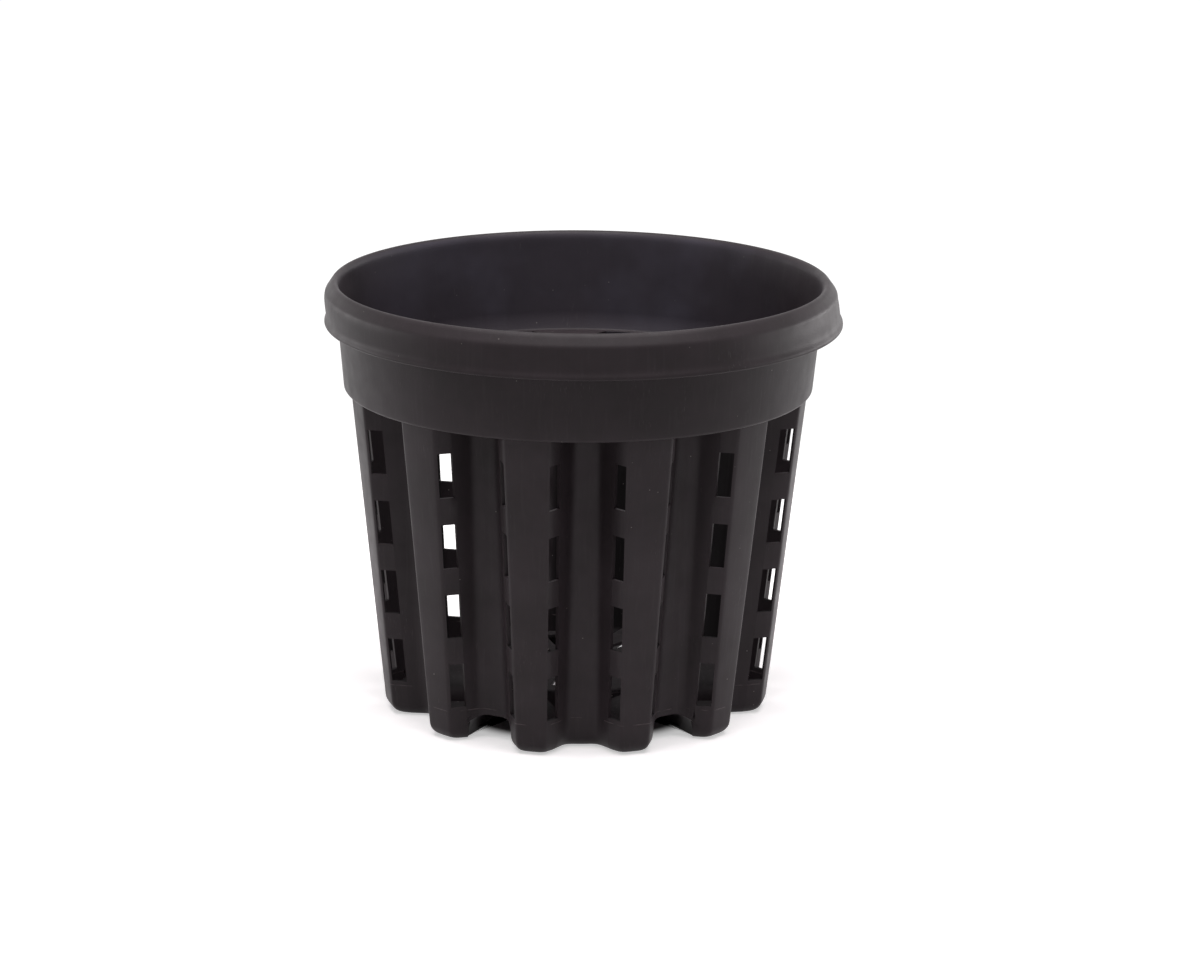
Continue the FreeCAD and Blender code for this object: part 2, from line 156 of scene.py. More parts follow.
def stored_half_lobe(z, drawn, depth):
    """The same half outline, kept so that it is worked out once per height."""
    key = (round(z, 5), round(drawn, 6), depth)
    if key not in section_store:
        section_store[key] = half_lobe(z, drawn, depth)
    return section_store[key]


def beside_valley(place, z, drawn, depth):
    """A point of the outline counted in steps from a valley's middle, as (sideways, outwards)."""
    points = stored_half_lobe(z, drawn, depth)
    if place <= SIDE:
        spot, turn = SIDE - place, -1
    else:
        spot, turn = place - SIDE, 1
    low = min(int(spot), SIDE - 1)
    x, y = Vector(points[low]).lerp(Vector(points[low + 1]), spot - low)
    angle = HALF_TURN + turn * math.atan2(x, y)
    radius = math.hypot(x, y)
    return radius * math.sin(angle), radius * math.cos(angle)


def drawn_in(z, start):
    """How far the foot's quarter round has come in at a height, from 0 on the wall to 1 at its end."""
    rise = min(1.0, max(0.0, 1 - (z - start) / (foot_rounding - start)))
    return 1 - math.sqrt(1 - rise * rise)


ROOF_STEPS, ARCH_STEPS, JAMB_STEPS = 3, 7, 4


def arch_line(depth):
    """Half of the arch's cross-section, from the middle of its roof down its side: (sideways, up)."""
    half, top, corner = arch_half_width + depth, arch_height + depth, arch_corner + depth
    points = [((half - corner) * step / ROOF_STEPS, top) for step in range(ROOF_STEPS)]
    points += circle_run((half - corner, top - corner), corner, (0, 1), (1, 0), ARCH_STEPS)
    for step in range(1, JAMB_STEPS + 1):
        points.append((half, between(top - corner, depth, step / JAMB_STEPS)))
    return points


def foot_levels(start):
    """Heights of the sheet's rows, from the parting line down and round the foot."""
    radius = foot_rounding - start
    levels = [parting_height, between(parting_height, foot_rounding, 0.5)]
    levels += [start + radius * (1 - math.cos(math.radians(angle))) for angle in range(90, -1, -10)]
    return levels


PAN_STEPS = 5
HALVINGS = 40
column_gap = 0.3


def half_foot(depth):
    """Columns of half a foot's sheet, from the middle of an arch to the middle of the foot.
    Each is a list of (sideways, outwards, up), down the wall and then inwards to the floor's skirt."""
    levels = foot_levels(depth)
    arch = arch_line(depth)

    def mouth(side, height):
        """Where the outline is as far sideways as the arch's edge, found by halving."""
        low, high = 0.0, float(SIDE)
        drawn = drawn_in(height, depth)
        for _ in range(HALVINGS):
            place = (low + high) / 2
            if beside_valley(place, height, drawn, depth)[0] < side:
                low = place
            else:
                high = place
        return low

    edge = mouth(*arch[-1])
    columns = []
    for number, (side, height) in enumerate(arch):
        bottom = mouth(side, height)
        top = edge * number / (len(arch) - 1)
        column = []
        for level in levels:
            z = between(height, parting_height, (level - depth) / (parting_height - depth))
            place = between(bottom, top, (z - height) / (parting_height - height))
            column.append((*beside_valley(place, z, drawn_in(z, depth), depth), z))
        last = column[-1]
        end = math.sqrt(between(*skirt_radius, height / skirt_top) ** 2 - side ** 2)
        for step in range(1, PAN_STEPS + 1):
            column.append((side, between(last[1], end, step / PAN_STEPS), height))
        columns.append(column)
    for place in range(math.ceil(edge + column_gap), 2 * SIDE + 1):
        column = [(*beside_valley(place, z, drawn_in(z, depth), depth), z) for z in levels]
        last = Vector(column[-1][:2])
        end = last.normalized() * between(*skirt_radius, depth / skirt_top)
        for step in range(1, PAN_STEPS + 1):
            spot = last.lerp(end, step / PAN_STEPS)
            column.append((spot.x, spot.y, depth))
        columns.append(column)
    return columns


def turned(point, angle):
    """A (sideways, outwards, up) point as x, y, z, its outward way at an angle from the front."""
    side, out, z = point
    across, along = math.cos(angle), math.sin(angle)
    return out * along + side * across, -out * across + side * along, z


# The warp of the moulding: its swells in millimetres, and the rim's tilt as a slope
oval_swell = 0.15
ripple_swell = 0.08
ripple_rise = 31.0
still_height = 20.0
rim_tilt = 0.0068
rim_height = 183.0


def settled(point):
    """The slight lean and waviness that a thin moulding takes as it cools, in millimetres. The feet
    stay still, and the rim stands a little lower on the left than on the right."""
    x, y, z = point
    angle = math.atan2(x, -y)
    swell = oval_swell * z / wall_top * math.sin(2 * angle)
    swell += ripple_swell * math.sin(5 * angle + z / ripple_rise)
    swell *= min(1.0, z / still_height)
    radius = math.hypot(x, y) or 1.0
    grown = 1 + swell / radius
    tilt = rim_tilt * x * min(1.0, z / rim_height)
    return x * grown, y * grown, z + tilt


def sheet_mesh(name, outer, inner, holes=()):
    """A closed shell from two grids of points round the pot, outer[column][row] and the inner one
    behind it. Cells named in holes, as (column, row), are left open, and each open edge is walled."""
    columns, rows = len(outer), len(outer[0])
    spots = [settled(p) for grid in (outer, inner) for column in grid for p in column]
    cells = {(c, r) for c in range(columns) for r in range(rows - 1)} - set(holes)

    def index(grid, column, row):
        return (grid * columns + column % columns) * rows + row

    faces = []
    for c, r in sorted(cells):
        ring = [(c, r), (c + 1, r), (c + 1, r + 1), (c, r + 1)]
        faces.append([index(0, *spot) for spot in ring])
        faces.append([index(1, *spot) for spot in reversed(ring)])
        beside = [(c, r - 1), ((c + 1) % columns, r), (c, r + 1), ((c - 1) % columns, r)]
        for number, neighbour in enumerate(beside):
            if neighbour not in cells:
                start, end = ring[number], ring[(number + 1) % 4]
                faces.append([index(0, *end), index(0, *start), index(1, *start), index(1, *end)])
    mesh = bpy.data.meshes.new(name)
    mesh.from_pydata([(x * MM, y * MM, z * MM) for x, y, z in spots], [], faces)
    return mesh


same_spot = 0.002
sharp_angle = math.radians(48)


def finished(name, mesh, material, edge, replaced):
    """Cleans a mesh, rounds its sharp edges by edge millimetres, and stands it in for its
    construction solids."""
    mesh.validate()
    work = bmesh.new()
    work.from_mesh(mesh)
    bmesh.ops.remove_doubles(work, verts=work.verts, dist=same_spot * MM)
    loose = [vert for vert in work.verts if not vert.link_faces]
    bmesh.ops.delete(work, geom=loose, context="VERTS")
    bmesh.ops.recalc_face_normals(work, faces=work.faces)
    work.to_mesh(mesh)
    work.free()
    mesh.shade_smooth()
    piece = bpy.data.objects.new(name, mesh)
    bpy.context.scene.collection.objects.link(piece)
    mesh.materials.append(material)
    bevel = piece.modifiers.new("rounded_edges", "BEVEL")
    bevel.width = edge * MM
    bevel.segments = 2
    bevel.limit_method = "ANGLE"
    bevel.angle_limit = sharp_angle
    bevel.harden_normals = True
    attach(piece, "root")
    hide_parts(*replaced)


def linear(code):
    """An sRGB hex colour as linear red, green, blue and alpha."""
    parts = [int(code[n:n + 2], 16) / 255 for n in (1, 3, 5)]
    return (*[p / 12.92 if p <= 0.04045 else ((p + 0.055) / 1.055) ** 2.4 for p in parts], 1.0)


def add_node(tree, kind, settings, inputs, output=0):
    """Adds one node, with its settings, and values or sockets to link from at its inputs. It gives
    back the output that is asked for, or the node itself where output is None."""
    made = tree.nodes.new(kind)
    for name, value in settings.items():
        setattr(made, name, value)
    for name, value in inputs.items():
        if isinstance(value, bpy.types.NodeSocket):
            tree.links.new(value, made.inputs[name])
        else:
            made.inputs[name].default_value = value
    return made if output is None else made.outputs[output]


def moulded_polypropylene():
    """Black polypropylene, injection moulded in a fine-eroded mould: near black with a satin sheen,
    faint flow clouds and draw marks, a broken parting seam painted paler as a highlight, fine scuffs,
    and pale dust from a shed. Painted shade darkens the inside below the collar and the base's
    upturned faces, and a painted bluish sheen lies in patches inside the back of the collar."""
    material = bpy.data.materials.new("moulded_black_polypropylene")
    material.use_nodes = True
    tree = material.node_tree
    shader = tree.nodes["Principled BSDF"]
    times, plus, colours = {"operation": "MULTIPLY"}, {"operation": "ADD"}, {"data_type": "RGBA"}
    place = add_node(tree, "ShaderNodeTexCoord", {}, {}, "Object")
    split = add_node(tree, "ShaderNodeSeparateXYZ", {}, {"Vector": place}, None)
    height = split.outputs["Z"]

    # Each pattern's lumps in millimetres, its detail, and its stretch along the pot's height. The
    # grain and the scratches are finer than a tenth of a millimetre on the real pot, and are drawn
    # as coarse as they need to show
    lumps = {
        "flow": (26.0, 3.0, 1.0), "painted_sheen": (40.0, 3.0, 1.0), "burr": (7.0, 2.0, 1.0),
        "draw": (1.6, 2.0, 40.0), "patch": (17.0, 2.0, 1.0), "scratch": (0.5, 1.0, 9.0),
        "sheen": (9.0, 3.0, 1.0), "grain": (0.7, 2.0, 1.0), "sink": (14.0, 1.0, 1.0)}
    noise = {}
    for name, (size, detail, stretch) in lumps.items():
        vector = add_node(tree, "ShaderNodeMapping", {}, {"Vector": place, "Scale": (1, 1, 1 / stretch)})
        noise[name] = add_node(tree, "ShaderNodeTexNoise", {}, {
            "Vector": vector, "Scale": 1 / (size * MM), "Detail": detail}, "Fac")
    # Dust lies as pale specks under half a millimetre wide, a few of them in every square centimetre
    speck_spacing = 3.6
    specks = add_node(tree, "ShaderNodeTexVoronoi", {}, {
        "Vector": place, "Scale": 1 / (speck_spacing * MM)}, None)
    speck_number = add_node(tree, "ShaderNodeSeparateColor", {}, {"Color": specks.outputs["Color"]})
    # Where a face looks: facing is 1 away from the pot's own axis, and -1 towards it
    normal = add_node(tree, "ShaderNodeNewGeometry", {}, {}, "Normal")
    upward = add_node(tree, "ShaderNodeSeparateXYZ", {}, {"Vector": normal}, "Z")
    level = add_node(tree, "ShaderNodeVectorMath", times, {0: place, 1: (1, 1, 0)})
    away = add_node(tree, "ShaderNodeVectorMath", {"operation": "NORMALIZE"}, {0: level})
    facing = add_node(tree, "ShaderNodeVectorMath", {"operation": "DOT_PRODUCT"}, {
        0: normal, 1: away}, "Value")

    # Where each finish begins and ends, with its share at both. Heights and places are in metres
    fades = {
        "flow": (noise["flow"], 0.3, 0.7, 0.0, 1.0),
        "inside": (facing, -0.9, -0.6, 1.0, 0.0),
        "upturned": (upward, 0.3, 0.6, 0.0, 1.0),
        "base": (height, 0.05, 0.06, 1.0, 0.0),
        "under_collar": (height, 0.125, 0.145, 1.0, 0.0),
        "collar": (height, 0.125, 0.150, 0.0, 1.0),
        "back": (split.outputs["Y"], 0.03, 0.09, 0.15, 1.0),
        "painted_sheen": (noise["painted_sheen"], 0.4, 0.66, 0.45, 1.0),
        "burr": (noise["burr"], 0.47, 0.6, 0.0, 1.0),
        "draw": (noise["draw"], 0.55, 0.8, 0.0, 1.0),
        "patch": (noise["patch"], 0.56, 0.7, 0.0, 1.0),
        "scratch": (noise["scratch"], 0.62, 0.8, 0.0, 1.0),
        "speck": (specks.outputs["Distance"], 0.05, 0.09, 1.0, 0.0),
        "chosen": (speck_number, 0.86, 0.9, 0.0, 1.0),
        "roughness": (noise["sheen"], 0.3, 0.7, 0.40, 0.50)}
    fade = {}
    for name, row in fades.items():
        inputs = dict(zip(("Value", "From Min", "From Max", "To Min", "To Max"), row))
        fade[name] = add_node(tree, "ShaderNodeMapRange", {}, inputs)

    # Painted shade: the inside below the collar and the upturned faces of the base are painted a deeper
    # black
    pan = add_node(tree, "ShaderNodeMath", times, {0: fade["upturned"], 1: fade["base"]})
    painted_inner_shade = add_node(tree, "ShaderNodeMath", times, {0: fade["inside"], 1: fade["under_collar"]})
    painted_shade = add_node(tree, "ShaderNodeMath", {"operation": "MAXIMUM"}, {0: pan, 1: painted_inner_shade})
    # Painted sheen: a bluish reflection painted in patches on the inside at the back of the collar
    back = add_node(tree, "ShaderNodeMath", times, {0: fade["collar"], 1: fade["back"]})
    back = add_node(tree, "ShaderNodeMath", times, {0: fade["inside"], 1: back})
    painted_sheen = add_node(tree, "ShaderNodeMath", times, {0: back, 1: fade["painted_sheen"]})
    # The seam where the two halves of the mould meet, with a broken burr along it. Its relief is real
    # and its paler colour is a painted highlight
    seam_half = 0.22
    seam_and_painted_highlight = add_node(tree, "ShaderNodeMath", {"operation": "COMPARE"}, {
        0: height, 1: parting_height * MM, 2: seam_half * MM})
    seam_and_painted_highlight = add_node(tree, "ShaderNodeMath", times, {0: seam_and_painted_highlight, 1: fade["burr"]})
    # Scuffs in patches, where pots have rubbed together in the stack
    scuff = add_node(tree, "ShaderNodeMath", times, {0: fade["patch"], 1: fade["scratch"]})
    dust = add_node(tree, "ShaderNodeMath", times, {0: fade["speck"], 1: fade["chosen"]})

    # Flow clouds: the carbon black is not quite even. The other layers lie over them, each with how
    # much of its colour shows: the painted shade, the painted bluish sheen, the seam with its painted
    # highlight, draw marks, scuffs and dust
    colour = add_node(tree, "ShaderNodeMix", colours, {
        0: fade["flow"], 6: linear("#252022"), 7: linear("#302a2d")}, 2)
    layers = ((painted_shade, 0.85, "#0c0a0b"), (painted_sheen, 0.9, "#4a4751"), (seam_and_painted_highlight, 0.35, "#6b6163"),
              (fade["draw"], 0.1, "#4a4748"), (scuff, 0.3, "#5d595a"), (dust, 0.5, "#8d8985"))
    for layer, strength, code in layers:
        share = add_node(tree, "ShaderNodeMath", times, {0: layer, 1: strength})
        colour = add_node(tree, "ShaderNodeMix", colours, {0: share, 6: colour, 7: linear(code)}, 2)
    tree.links.new(colour, shader.inputs["Base Color"])
    shader.inputs["IOR"].default_value = 1.49
    # The eroded grain traps part of the light that a polished face would mirror
    shader.inputs["Specular IOR Level"].default_value = 0.16
    # Satin, and duller where it is scuffed or dusty and where shade is painted inside and on the base
    marks = add_node(tree, "ShaderNodeMath", plus, {0: scuff, 1: dust})
    roughness = fade["roughness"]
    for layer, strength in ((marks, 0.14), (painted_shade, 0.3)):
        share = add_node(tree, "ShaderNodeMath", times, {0: layer, 1: strength})
        roughness = add_node(tree, "ShaderNodeMath", plus, {0: roughness, 1: share})
    tree.links.new(roughness, shader.inputs["Roughness"])
    # Relief, with its depth in millimetres: the grain, the sheet's slight sink, the marks that the
    # core drew along the wall, the scuffs, and the seam's burr
    bumps = ((noise["grain"], 0.1, 0.08), (noise["sink"], 0.5, 0.1), (fade["draw"], 0.3, 0.02),
             (scuff, 0.4, -0.02), (seam_and_painted_highlight, 0.8, 0.12))
    relief = {}
    for layer, strength, depth in bumps:
        inputs = {"Height": layer, "Strength": strength, "Distance": depth * MM, **relief}
        relief = {"Normal": add_node(tree, "ShaderNodeBump", {}, inputs)}
    tree.links.new(relief["Normal"], shader.inputs["Normal"])
    return material


plastic = moulded_polypropylene()


def foot_ring(depth):
    """All columns of the base's sheet, foot by foot and mirrored about each arch."""
    half = half_foot(depth)
    ring = []
    for foot in range(FEET):
        arch_angle = (foot + 0.5) * 2 * math.pi / FEET
        left = [[(-side, out, z) for side, out, z in column] for column in reversed(half[1:])]
        ring += [[turned(point, arch_angle) for point in column] for column in left[1:] + half]
    return ring


feet_names = ["base_foot_%d" % (n + 1) for n in range(FEET)]
feet_names += ["drain_arch_%d" % (n + 1) for n in range(FEET)]
foot_edge = 0.3
feet = sheet_mesh("feet_and_arches", foot_ring(0.0), foot_ring(wall))
finished("feet_and_arches", feet, plastic, foot_edge, feet_names)

# Fluted wall
# The wall above the parting line: twelve lobes with flat corner facets, and four rows of slots cut
# by the mould through every facet, so that air reaches the roots. Same black polypropylene.
SLOT_ROWS = 4
slot_height = 19.205
slot_pitch = 30.795
slot_low = 15.45
SLOT_STEPS = 4
slot_columns = (CREST_STEPS + BEND_STEPS, CREST_STEPS + BEND_STEPS + 1)
wall_edge = 0.25


def wall_levels():
    """Heights of the wall's rows, and the rows that lie within a slot."""
    levels, open_rows = [parting_height], []
    for row in range(SLOT_ROWS):
        low = slot_low + row * slot_pitch
        first = len(levels)
        levels += [low + slot_height * step / SLOT_STEPS for step in range(SLOT_STEPS + 1)]
        open_rows += range(first, first + SLOT_STEPS)
        top = low + slot_pitch if row < SLOT_ROWS - 1 else wall_top
        gap = top - levels[-1]
        levels += [levels[-1] + gap / 3, levels[-1] + gap * 2 / 3]
    return levels + [wall_top], open_rows


def wall_ring(levels, depth):
    """The whole fluted outline, column by column, with every column's points from the bottom up."""
    sections = [half_lobe(z, 0.0, depth) for z in levels]
    ring = []
    for lobe in range(LOBES):
        angle = (lobe + 0.5) * 2 * math.pi / LOBES
        for place in range(-SIDE, SIDE):
            column = []
            for z, section in zip(levels, sections):
                x, y = section[abs(place)]
                column.append(turned((math.copysign(x, place), y, z), angle))
            ring.append(column)
    return ring


levels, open_rows = wall_levels()
slot_cells = []
for lobe in range(LOBES):
    middle = lobe * 2 * SIDE + SIDE
    for row in open_rows:
        for column in slot_columns:
            slot_cells += [(middle + column, row), (middle - column - 1, row)]
wall_names = ["wall_lobe_%02d" % (n + 1) for n in range(LOBES)]
wall_names += ["wall_valley_%02d" % (n + 1) for n in range(LOBES)]
fluted = sheet_mesh("fluted_wall", wall_ring(levels, 0.0), wall_ring(levels, wall), holes=slot_cells)
finished("fluted_wall", fluted, plastic, wall_edge, wall_names)

# Rim and collar
# The plain band above the lobes and the rim that is rolled over at its top: a crown, an upright
# skirt with a slight waist, and a flared lip for lifting the pot. One sheet of the same moulding.
RING_COLUMNS = 240
collar_radius = (99.15, 103.1)
collar_wall = 1.5
collar_corner = 1.2
collar_fillet = 0.8
ledge_thickness = 1.5
ledge_radius = 95.8
mouth_height = 181.3
pot_height = 183.9
rim_edge = 0.2
# The rim from the mouth over its crown, down the outer leaf, round the lip and up the hollow, as
# (radius, drop below the pot's top)
rim_leaf = [
    (101.35, 5.0), (101.5, 3.5), (101.65, 2.5), (102.05, 1.4), (102.75, 0.45), (103.6, 0.0),
    (104.25, 0.12), (104.85, 0.55), (105.6, 1.55), (106.4, 2.7), (107.15, 3.75), (107.55, 4.35),
    (107.82, 4.95), (107.98, 5.8), (108.12, 7.2), (108.25, 8.8), (108.32, 10.2), (108.33, 11.8),
    (108.35, 13.3), (108.42, 14.3), (108.62, 15.2), (108.95, 15.95), (109.2, 16.5), (109.3, 17.05),
    (109.28, 17.5), (109.1, 17.85), (108.8, 17.95), (108.2, 17.95), (107.75, 17.75), (107.2, 16.85),
    (106.8, 15.65), (106.65, 14.35), (106.65, 11.95), (106.65, 9.45), (106.2, 6.2), (105.2, 3.6),
    (104.3, 2.5), (103.75, 2.15)]
leaf_end = 2.95
# Heights of the mesh's rows up the collar's inside and down its outside
inner_rows = (148.0, 158.0, 168.0, 174.0, 177.0)
outer_rows = (178.0, 173.0, 168.0, 163.0, 158.0, 153.0, 148.0, 143.0)


def collar_at(z):
    """Outer radius of the collar at a height."""
    return between(*collar_radius, (z - wall_top) / (mouth_height - wall_top))


def rim_profile():
    """The closed cross-section of the collar and rim, as (radius, height), counted from the ledge's
    inner edge up the inside, over the crown, round the lip, up the hollow and down the outside."""
    top = wall_top + ledge_thickness
    fillet = top + collar_fillet
    points = [(ledge_radius, wall_top), (ledge_radius, top)]
    points += [(collar_at(top) - collar_wall - collar_fillet, top)]
    points += [(collar_at(fillet) - collar_wall, fillet)]
    points += [(collar_at(z) - collar_wall, z) for z in inner_rows]
    points += [(radius, pot_height - drop) for radius, drop in rim_leaf]
    points += [(collar_at(z), z) for z in (pot_height - leaf_end, *outer_rows)]
    low = wall_top + collar_corner
    centre = collar_at(low) - collar_corner
    points += [(centre + collar_corner * math.cos(a), low - collar_corner * math.sin(a)) for a in
               [math.radians(angle) for angle in (0, 22.5, 45, 67.5, 90)]]
    return points


# How far the crown and the outer leaf sag sideways, and between which drops and radii they do so
crown_depth = 8.0
crown_sag = 0.5
leaf_sag = (0.7, 1.9)
leaf_drop = (7.0, 16.0)
leaf_radius = (103.0, 107.0)
hollow_radius = 105.0


def share_of(value, low, high):
    """How far a value has come from low to high, from 0 to 1."""
    return min(1.0, max(0.0, (value - low) / (high - low)))


def leaf_shift(radius, z):
    """How far the rim's outer leaf has sagged to the right of the collar, in millimetres."""
    drop = pot_height - z
    if drop > crown_depth and radius < hollow_radius:
        return 0.0
    inner = crown_sag * share_of(drop, crown_depth, 0.0)
    outer = between(*leaf_sag, share_of(drop, *leaf_drop))
    return between(inner, outer, share_of(radius, *leaf_radius))


def ring_mesh(name, profile):
    """A closed ring from a closed cross-section turned about the pot's axis."""
    rows = len(profile)
    spots = []
    for column in range(RING_COLUMNS):
        angle = 2 * math.pi * column / RING_COLUMNS
        for radius, z in profile:
            x, y, z = turned((0.0, radius, z), angle)
            spots.append(settled((x + leaf_shift(radius, z), y, z)))
    faces = []
    for column in range(RING_COLUMNS):
        here, beside = column * rows, (column + 1) % RING_COLUMNS * rows
        for row in range(rows):
            above = (row + 1) % rows
            faces.append([here + row, beside + row, beside + above, here + above])
    mesh = bpy.data.meshes.new(name)
    mesh.from_pydata([(x * MM, y * MM, z * MM) for x, y, z in spots], [], faces)
    return mesh


finished("rim_and_collar", ring_mesh("rim_and_collar", rim_profile()), plastic, rim_edge,
         ["rim_crown", "rim_skirt", "rim_lip", "collar_band"])

# Shoulder ledge
# The flat plates that close the tops of the valleys under the collar, so that bark can't fall out
# beside the lobes. They are moulded in one with the collar and the wall.
LEDGE_STEPS = 4
ledge_edge = 0.2
closed_width = 0.02


def ledge_grid(z):
    """Columns of the ledge from the collar's ring in to the wall's inner face, at one height."""
    section = half_lobe(wall_top, 0.0, wall)
    grid = []
    for lobe in range(LOBES):
        angle = (lobe + 0.5) * 2 * math.pi / LOBES
        for place in range(-SIDE, SIDE):
            x, y = section[abs(place)]
            inner = Vector((math.copysign(x, place), y))
            outer = inner.normalized() * ledge_radius
            steps = [outer.lerp(inner, step / LEDGE_STEPS) for step in range(LEDGE_STEPS + 1)]
            grid.append([turned((spot.x, spot.y, z), angle) for spot in steps])
    return grid


upper, lower = ledge_grid(wall_top + ledge_thickness), ledge_grid(wall_top)
# Where the lobes meet the collar's ring the ledge has no width, so no cell stands there
closed_cells = []
for column, line in enumerate(upper):
    sides = (line, upper[(column + 1) % len(upper)])
    if max((Vector(side[0]) - Vector(side[-1])).length for side in sides) < closed_width:
        closed_cells += [(column, row) for row in range(LEDGE_STEPS)]
ledge = sheet_mesh("shoulder_ledge", upper, lower, holes=closed_cells)
finished("shoulder_ledge", ledge, plastic, ledge_edge, ["shoulder_ledge"])

# Floor skirt
# The upright wall that carries the raised floor clear of the ground. It is open at the six arches,
# and two small windows drain the pan behind each foot. The same sheet of black polypropylene.
drain_rise = (1.4, 5.8)
drain_edges = (1.72, 6.32)
skirt_edge = 0.2
# A row of the mesh that only keeps its faces even, and the rows that the openings take up
spare_row = 10.0
arch_rows, drain_rows = (0, 1), (1, 2)


def skirt_columns():
    """Half a foot's columns from an arch's middle to the foot's, as (angle from the arch, height of
    the arch's edge above that column)."""
    curve = [spot for spot in arch_line(0.0) if spot[1] >= arch_height - arch_corner]
    columns = [(math.asin(side / skirt_radius[0]), height) for side, height in curve]
    half_sector = math.pi / FEET
    edges = [half_sector - math.asin(side / skirt_radius[0]) for side in (*reversed(drain_edges), 0.0)]
    for edge in edges:
        columns.append((between(columns[-1][0], edge, 0.5), 0.0))
        columns.append((edge, 0.0))
    return columns


def skirt_ring(depth):
    """All columns of the floor's skirt, each from the ground up."""
    half = skirt_columns()
    spring = arch_height - arch_corner
    ring = []
    for foot in range(FEET):
        arch_angle = (foot + 0.5) * 2 * math.pi / FEET
        whole = [(-angle, height) for angle, height in reversed(half[1:-1])] + half
        for angle, height in whole:
            column = []
            for z in (0.0, drain_rise[0], spring, drain_rise[1], spare_row, skirt_top):
                if z >= spring and height > spring:
                    z = between(height, skirt_top, (z - spring) / (skirt_top - spring))
                radius = between(*skirt_radius, z / skirt_top) - depth
                column.append(turned((0.0, radius, z), arch_angle + angle))
            ring.append(column)
    return ring


skirt_half = skirt_columns()
arch_cells = sum(1 for angle, height in skirt_half if height > 0) - 1
skirt_width = 2 * len(skirt_half) - 2
open_cells = []
for foot in range(FEET):
    middle = foot * skirt_width + len(skirt_half) - 2
    for step in range(arch_cells):
        open_cells += [(cell, row) for row in arch_rows for cell in (middle + step, middle - 1 - step)]
    for step in (arch_cells + 2, arch_cells + 3):
        open_cells += [(cell, row) for row in drain_rows for cell in (middle + step, middle - 1 - step)]
skirt = sheet_mesh("floor_skirt", skirt_ring(0.0), skirt_ring(wall), holes=open_cells)
finished("floor_skirt", skirt, plastic, skirt_edge, ["floor_skirt"])

# Raised floor
# The disc that the bark rests on, with a rounded outer edge and a ring of twelve radial slots, so
# that water drains and air comes in from below. It closes the top of the floor's skirt.
FLOOR_SLOTS = 12
floor_thickness = 1.4
floor_edge_rise = (1.15, 0.5)
floor_slot_half = 2.3
floor_slot_span = (14.0, 36.5)
floor_edge = 0.2
# One slot's columns as shares of its sector, with its own two edges as -1 and 1
floor_columns = (-0.5, -0.38, -1, 1, 0.38)


def floor_grid(under):
    """Columns of the disc from its middle outwards, over the top or along the underside."""
    start, end = floor_slot_span
    rows = [(radius, floor_thickness) for radius in (0.0, 5.0, 10.0, start, 25.0, end, 39.0, 41.0)]
    rows += [(42.0, floor_edge_rise[0]), (skirt_radius[1], floor_edge_rise[1])]
    if under:
        rows = [(radius, 0.0) for radius, rise in rows]
    grid = []
    for number in range(FLOOR_SLOTS):
        for place in floor_columns:
            column = []
            for radius, rise in rows:
                angle = place * 2 * math.pi / FLOOR_SLOTS
                if abs(place) == 1:
                    angle = place * math.asin(floor_slot_half / max(radius, start))
                centre = (number + 0.5) * 2 * math.pi / FLOOR_SLOTS
                column.append(turned((0.0, radius, skirt_top + rise), centre + angle))
            grid.append(column)
    return grid


slot_column, slot_rows = 2, (3, 4)
slot_gaps = [(number * len(floor_columns) + slot_column, row)
             for number in range(FLOOR_SLOTS) for row in slot_rows]
floor = sheet_mesh("raised_floor", floor_grid(False), floor_grid(True), holes=slot_gaps)
finished("raised_floor", floor, plastic, floor_edge, ["floor_disc"])

# Studio
# Plain packshot light: a white card that falls off to grey, a soft box overhead and a long one at
# each side. Card and backdrop show white to the camera and in gloss. The card's glow is left out
# under the pot and is weaker round it, a painted shadow over the lamps' own contact shadow.
# Distances are in metres.
light_cast = (1.0, 0.965, 0.975)
sky_strength = (0.08, 1.0)
card_reach = 6.0
card_fade, card_shade = (0.2, 0.5), (0.8, 0.12)
near_glow, far_glow, half_glow = (0.056, 0.066), (0.08, 0.3), 0.5
pot_middle = Vector((0, 0, 0.09))


def seen_white(tree):
    """1 where a ray comes from the camera, from gloss or through glass, and otherwise 0."""
    path = add_node(tree, "ShaderNodeLightPath", {}, {}, None)
    either = add_node(tree, "ShaderNodeMath", {"operation": "MAXIMUM"}, {
        0: path.outputs["Is Camera Ray"], 1: path.outputs["Is Glossy Ray"]})
    return add_node(tree, "ShaderNodeMath", {"operation": "MAXIMUM"}, {
        0: either, 1: path.outputs["Is Transmission Ray"]})


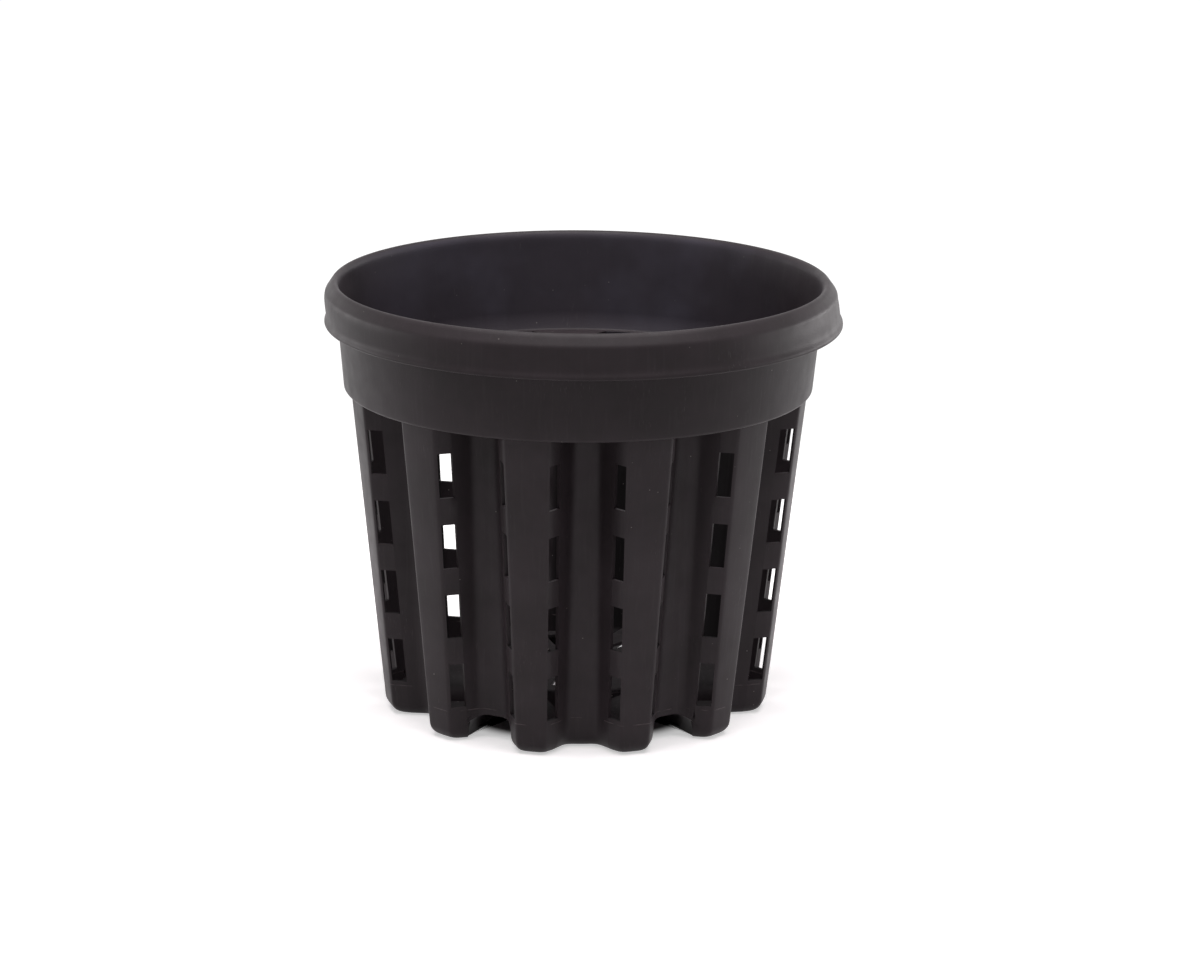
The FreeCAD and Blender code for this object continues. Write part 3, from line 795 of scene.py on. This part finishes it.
def white_card():
    """Matt white card, greyer further out. It glows where it is seen, from just outside the feet
    on, so that it is white there. The glow is weaker near the pot and full further out, a painted
    shadow over the pot's own contact shadow."""
    material = bpy.data.materials.new("white_sweep")
    material.use_nodes = True
    tree = material.node_tree
    tree.nodes.clear()
    place = add_node(tree, "ShaderNodeTexCoord", {}, {}, "Object")
    away = add_node(tree, "ShaderNodeVectorMath", {"operation": "LENGTH"}, {0: place}, "Value")
    shade = add_node(tree, "ShaderNodeMapRange", {}, {
        "Value": away, "From Min": card_fade[0], "From Max": card_fade[1],
        "To Min": card_shade[0], "To Max": card_shade[1]})
    tint = add_node(tree, "ShaderNodeVectorMath", {"operation": "SCALE"}, {
        0: light_cast, "Scale": shade})
    paint = add_node(tree, "ShaderNodeBsdfDiffuse", {}, {"Color": tint})
    # Painted shadow: the glow is nothing under the pot, half near its feet and full only further out
    near = add_node(tree, "ShaderNodeMapRange", {"interpolation_type": "SMOOTHSTEP"}, {
        "Value": away, "From Min": near_glow[0], "From Max": near_glow[1], "To Max": half_glow})
    far = add_node(tree, "ShaderNodeMapRange", {}, {
        "Value": away, "From Min": far_glow[0], "From Max": far_glow[1], "To Max": half_glow})
    fill = add_node(tree, "ShaderNodeMath", {"operation": "ADD"}, {0: near, 1: far})
    glow = add_node(tree, "ShaderNodeEmission", {}, {"Color": (1, 1, 1, 1), "Strength": fill})
    both = add_node(tree, "ShaderNodeAddShader", {}, {0: paint, 1: glow})
    mix = add_node(tree, "ShaderNodeMixShader", {}, {0: seen_white(tree), 1: paint, 2: both})
    add_node(tree, "ShaderNodeOutputMaterial", {}, {"Surface": mix}, None)
    return material


card_mesh = bpy.data.meshes.new("sweep")
card_corners = [(x * card_reach, y * card_reach, 0) for x, y in ((-1, -1), (1, -1), (1, 1), (-1, 1))]
card_mesh.from_pydata(card_corners, [], [(0, 1, 2, 3)])
card_mesh.materials.append(white_card())
sweep = bpy.data.objects.new("sweep", card_mesh)
bpy.context.scene.collection.objects.link(sweep)

world = bpy.data.worlds.new("studio")
bpy.context.scene.world = world
world.use_nodes = True
tree = world.node_tree
tree.nodes.clear()
share = seen_white(tree)
strength = add_node(tree, "ShaderNodeMapRange", {}, {
    "Value": share, "To Min": sky_strength[0], "To Max": sky_strength[1]})
cast = add_node(tree, "ShaderNodeMix", {"data_type": "RGBA"}, {
    0: share, 6: (*light_cast, 1.0), 7: (1, 1, 1, 1)}, 2)
backdrop = add_node(tree, "ShaderNodeBackground", {}, {"Color": cast, "Strength": strength})
add_node(tree, "ShaderNodeOutputWorld", {}, {"Surface": backdrop}, None)


def softbox(name, place, size, power):
    """A rectangular soft box that faces the pot, with its size in metres and its power in watts."""
    light = bpy.data.lights.new(name, "AREA")
    light.shape = "RECTANGLE"
    light.size, light.size_y = size
    light.energy = power
    light.color = light_cast
    lamp = bpy.data.objects.new(name, light)
    lamp.location = place
    aim = pot_middle - lamp.location
    lamp.rotation_euler = aim.to_track_quat("-Z", "Y").to_euler()
    bpy.context.scene.collection.objects.link(lamp)


softbox("left_softbox", (-1.35, 0.45, 0.15), (1.6, 0.45), 7.5)
softbox("right_softbox", (1.35, 0.5, 0.15), (1.6, 0.45), 10.0)
softbox("top_softbox", (0.0, -0.2, 1.7), (1.6, 1.4), 42.0)

# Camera
# It stands where the photograph was taken from, as fitted to the outlines of the rim, the collar and
# the lobes. Distances are in millimetres and angles in radians.
camera_distance = 1574.6301
camera_lift = 0.2658
camera_roll = -0.0142
camera_turn = math.radians(3.0419)
camera_aside, camera_above = -11.09, -92.64
lens = 108.781
sensor_width = 36.0
right = Vector((math.cos(camera_roll), -math.sin(camera_roll) * math.sin(camera_lift),
                -math.sin(camera_roll) * math.cos(camera_lift)))
up = Vector((math.sin(camera_roll), math.cos(camera_roll) * math.sin(camera_lift),
             math.cos(camera_roll) * math.cos(camera_lift)))
ahead = Vector((0, math.cos(camera_lift), -math.sin(camera_lift)))
spin = Matrix.Rotation(-camera_turn, 3, "Z")
spot = spin @ ((right * -camera_aside - up * camera_above - ahead * camera_distance) * MM)
axes = Matrix([spin @ right, spin @ up, spin @ -ahead]).transposed().to_4x4()
camera = bpy.data.objects.new("camera", bpy.data.cameras.new("camera"))
camera.data.lens = lens
camera.data.sensor_width = sensor_width
camera.matrix_world = Matrix.Translation(spot) @ axes
bpy.context.scene.collection.objects.link(camera)
bpy.context.scene.camera = camera
bpy.context.scene.view_settings.view_transform = "Standard"

# The construction solids behind the pieces are of the same plastic
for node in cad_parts.values():
    node.data.materials.clear()
    node.data.materials.append(plastic)
